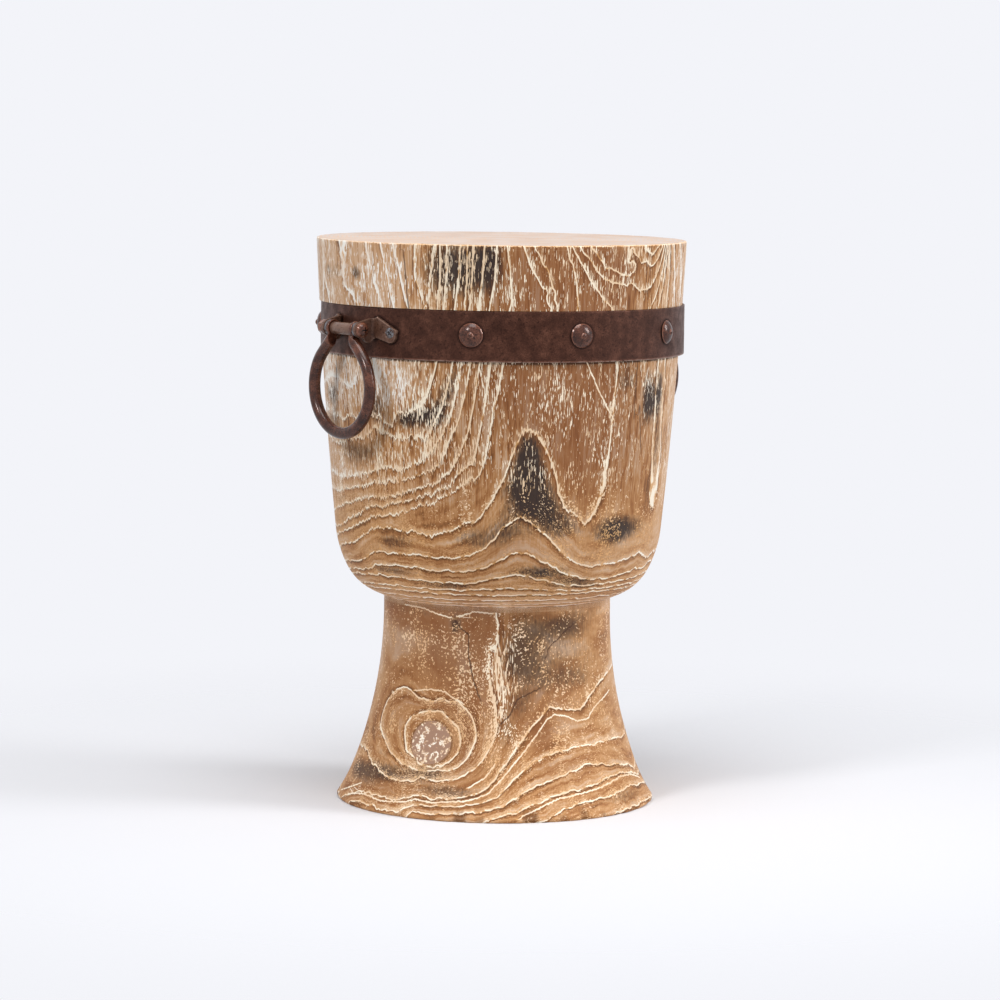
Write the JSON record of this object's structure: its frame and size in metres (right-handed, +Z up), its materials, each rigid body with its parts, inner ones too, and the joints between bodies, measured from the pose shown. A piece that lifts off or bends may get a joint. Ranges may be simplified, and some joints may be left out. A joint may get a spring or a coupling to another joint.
{
  "type": "stool",
  "caption": "Backless stool or side table turned from one log, drum on a flared foot, with a nailed iron hoop and swinging ring handles.",
  "frame": {"origin": "centre of the foot on the floor", "axes": "+Z up; handle A looks along -X, handle B is nearly opposite, towards +X"},
  "size_m": [0.3298, 0.295, 0.45],
  "materials": {
    "limed_teak": "matt, lime left in the grain",
    "rusty_iron": "oiled brown rust, half matt",
    "dull_zinc": "dull"
  },
  "bodies": {
    "stool": {"wood_body": "limed_teak", "hoop": "rusty_iron", "nail_washers": "rusty_iron", "nails": "rusty_iron", "bolt_a": "rusty_iron", "nut_a": "rusty_iron", "eye_washers_a": "dull_zinc", "outer_washers_a": "rusty_iron", "bracket_a_left": "rusty_iron", "bracket_a_right": "rusty_iron", "bracket_screws_a": "dull_zinc", "bolt_b": "rusty_iron", "nut_b": "rusty_iron", "eye_washers_b": "dull_zinc", "outer_washers_b": "rusty_iron", "bracket_b_left": "rusty_iron", "bracket_b_right": "rusty_iron", "bracket_screws_b": "dull_zinc"},
    "ring_a": {"ring_handle_a": "rusty_iron", "sleeve_a": "rusty_iron"},
    "ring_b": {"ring_handle_b": "rusty_iron", "sleeve_b": "rusty_iron"}
  },
  "joints": [
    {"name": "ring_a_swing", "type": "hinge", "parent": "stool", "child": "ring_a", "pos_m": [-0.1556, -0.0006, 0.382], "axis": [0, 1, 0], "range_deg": [-10, 175]},
    {"name": "ring_b_swing", "type": "hinge", "parent": "stool", "child": "ring_b", "pos_m": [0.15811, 0.01173, 0.382], "axis": [0.0785, -0.9969, 0], "range_deg": [-10, 175]}
  ]
}
